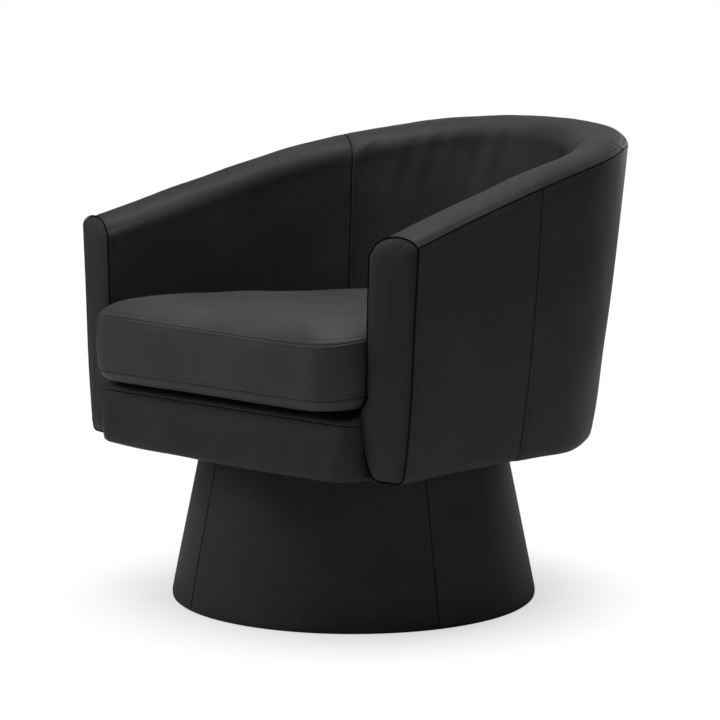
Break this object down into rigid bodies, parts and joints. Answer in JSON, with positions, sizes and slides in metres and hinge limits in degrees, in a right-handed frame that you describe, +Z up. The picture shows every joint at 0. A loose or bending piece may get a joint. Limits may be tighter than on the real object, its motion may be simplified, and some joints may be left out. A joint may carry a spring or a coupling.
{
  "type": "swivel accent chair",
  "caption": "Round-backed upholstered armchair with a loose boxed seat cushion, turning freely on a solid truncated-cone base.",
  "frame": {"origin": "on the floor, on the swivel's vertical axis, at the middle of the base's foot", "axes": "+Z up, +Y towards the chair's back, +X to the right as seen from the front"},
  "size_m": [0.714, 0.7522, 0.7173],
  "materials": {
    "leather": "smooth fine-grained black leather, semi-matt",
    "lining": "black non-woven cloth",
    "felt": "dense needled felt",
    "foam": "polyurethane foam",
    "plywood": "birch plywood, unfinished",
    "timber": "planed softwood",
    "plate_steel": "zinc-plated pressed steel",
    "bright_steel": "plated steel",
    "zip_nylon": "black nylon zip"
  },
  "bodies": {
    "base": {"base_felt": "felt", "base_bottom_board": "plywood", "base_top_board": "plywood", "base_posts": "timber", "base_screws": "bright_steel", "base_wall": "plywood", "base_padding": "foam", "base_cover": "leather", "swivel_lower_plate": "plate_steel", "swivel_lower_screws": "bright_steel", "swivel_rivet": "bright_steel"},
    "ball_cage": {"swivel_cage": "plate_steel", "swivel_balls": "bright_steel"},
    "seat_shell": {"swivel_upper_plate": "plate_steel", "swivel_bolts": "bright_steel", "tee_nuts": "bright_steel", "seat_board": "plywood", "ring_blocks": "timber", "board_screws": "bright_steel", "seat_ring": "plywood", "front_rail": "timber", "seat_springs": "bright_steel", "spring_clips": "plate_steel", "deck_pad": "felt", "deck_cloth": "lining", "arm_post_right": "plywood", "arm_post_left": "plywood", "top_rail": "plywood", "outer_board": "plywood", "inner_board": "plywood", "side_posts": "timber", "back_posts": "timber", "inner_foam": "foam", "facing_foam_right": "foam", "facing_foam_left": "foam", "front_foam": "foam", "outer_cover_right": "leather", "outer_cover_left": "leather", "outer_cover_back": "leather", "inner_cover_right": "leather", "inner_cover_left": "leather", "inner_cover_back": "leather", "facing_cover_right": "leather", "facing_cover_left": "leather", "front_cover": "leather", "dust_cover": "lining"},
    "seat_cushion": {"cushion_foam": "foam", "cushion_bottom_panel": "leather", "cushion_top_panel": "leather", "cushion_boxing": "leather", "cushion_zip": "zip_nylon"}
  },
  "joints": [
    {"name": "seat_swivel", "type": "hinge", "parent": "base", "child": "seat_shell", "pos_m": [0, 0, 0.233], "axis": [0, 0, 1], "continuous": true},
    {"name": "cage_turn", "type": "hinge", "parent": "base", "child": "ball_cage", "pos_m": [0, 0, 0.233], "axis": [0, 0, 1], "continuous": true},
    {"name": "cushion_lift", "type": "slide", "parent": "seat_shell", "child": "seat_cushion", "axis": [0, 0, 1], "range_m": [0, 0.12]}
  ],
  "couplings": [
    {"joint": "cage_turn", "follows": "seat_swivel", "ratio": 0.5}
  ]
}
